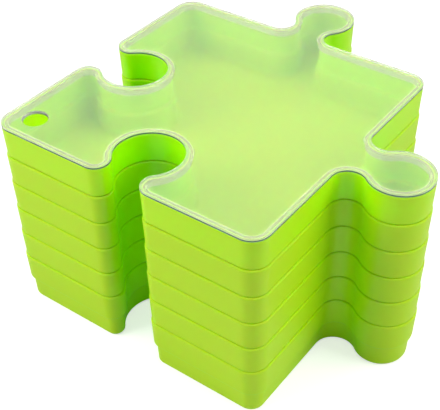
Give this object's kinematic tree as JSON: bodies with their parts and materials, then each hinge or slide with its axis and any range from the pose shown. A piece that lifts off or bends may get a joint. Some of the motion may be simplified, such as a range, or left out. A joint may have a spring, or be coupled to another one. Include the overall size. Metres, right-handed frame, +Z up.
{
  "type": "stackable jigsaw puzzle storage case",
  "caption": "Stack of nesting trays shaped like a jigsaw piece, with tabs and sockets that interlock, for sorting and storing puzzle pieces, closed by a clear lid with a finger hole.",
  "frame": {"origin": "on the table, under the centre of the square body with the tabs left out", "axes": "+Z up, the way the trays lift off; +X and +Y point out of the two sides that have a tab, and -X and -Y out of the two that have a socket"},
  "size_m": [0.2399, 0.2399, 0.1393],
  "materials": {
    "tray_plastic": "moulded lime green, satin",
    "lid_plastic": "clear, slightly hazy, moulded"
  },
  "bodies": {
    "tray_1": {"tray_1": "tray_plastic"},
    "tray_2": {"tray_2": "tray_plastic"},
    "tray_3": {"tray_3": "tray_plastic"},
    "tray_4": {"tray_4": "tray_plastic"},
    "tray_5": {"tray_5": "tray_plastic"},
    "tray_6": {"tray_6": "tray_plastic"},
    "lid": {"lid": "lid_plastic", "lid_rib": "lid_plastic"}
  },
  "joints": [
    {"name": "tray_2_lift", "type": "slide", "parent": "tray_1", "child": "tray_2", "axis": [0, 0, 1], "range_m": [0, 0.06]},
    {"name": "tray_3_lift", "type": "slide", "parent": "tray_2", "child": "tray_3", "axis": [0, 0, 1], "range_m": [0, 0.06]},
    {"name": "tray_4_lift", "type": "slide", "parent": "tray_3", "child": "tray_4", "axis": [0, 0, 1], "range_m": [0, 0.06]},
    {"name": "tray_5_lift", "type": "slide", "parent": "tray_4", "child": "tray_5", "axis": [0, 0, 1], "range_m": [0, 0.06]},
    {"name": "tray_6_lift", "type": "slide", "parent": "tray_5", "child": "tray_6", "axis": [0, 0, 1], "range_m": [0, 0.06]},
    {"name": "lid_lift", "type": "slide", "parent": "tray_6", "child": "lid", "axis": [0, 0, 1], "range_m": [0, 0.06]}
  ]
}
